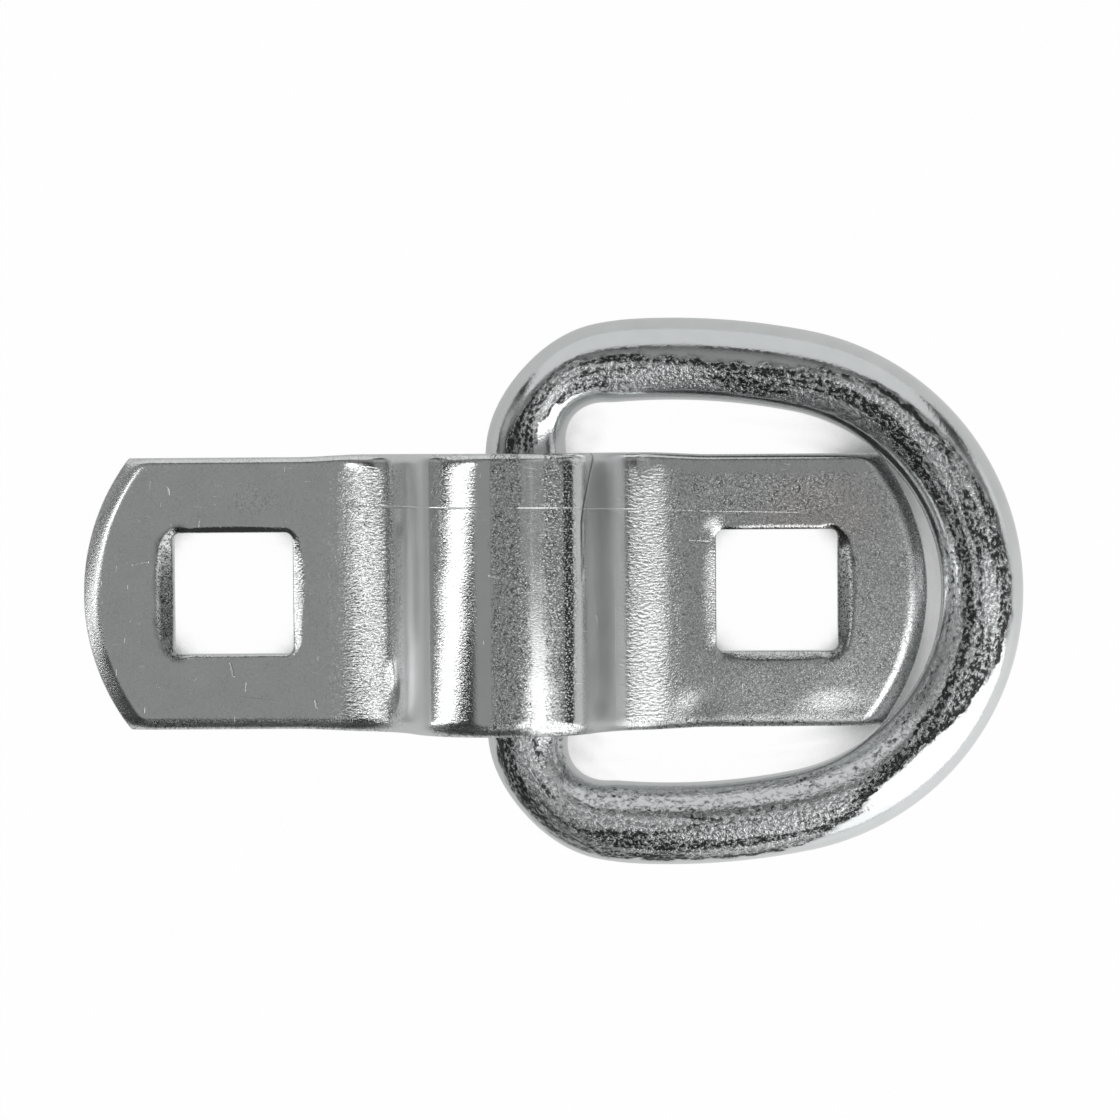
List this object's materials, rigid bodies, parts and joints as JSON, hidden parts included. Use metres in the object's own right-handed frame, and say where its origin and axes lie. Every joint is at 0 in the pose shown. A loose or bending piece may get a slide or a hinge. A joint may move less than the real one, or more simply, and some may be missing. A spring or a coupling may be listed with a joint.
{
  "type": "tie-down ring",
  "caption": "Surface-mount tie-down ring: a closed D-shaped ring of round rod that swings in the raised hump of a flat strap bracket with square bolt holes.",
  "frame": {"origin": "midway between the two square bolt holes, on the mounting surface", "axes": "+X along the strap towards the side that the ring lies over, +Y across the strap, +Z away from the mounting surface"},
  "size_m": [0.1093, 0.0634, 0.0161],
  "materials": {
    "bracket_zinc": "bright zinc plating on rolled strap, finely grained, rubbed and scratched",
    "ring_zinc": "bright zinc plating on bent round rod, smooth outside and pitted along its crest"
  },
  "bodies": {
    "bracket": {"mounting_bracket": "bracket_zinc"},
    "ring": {"d_ring": "ring_zinc"}
  },
  "joints": [
    {"name": "ring_swing", "type": "hinge", "parent": "bracket", "child": "ring", "pos_m": [0.00261, 0, 0.00496], "axis": [0, -1, 0], "range_deg": [0, 172]}
  ]
}
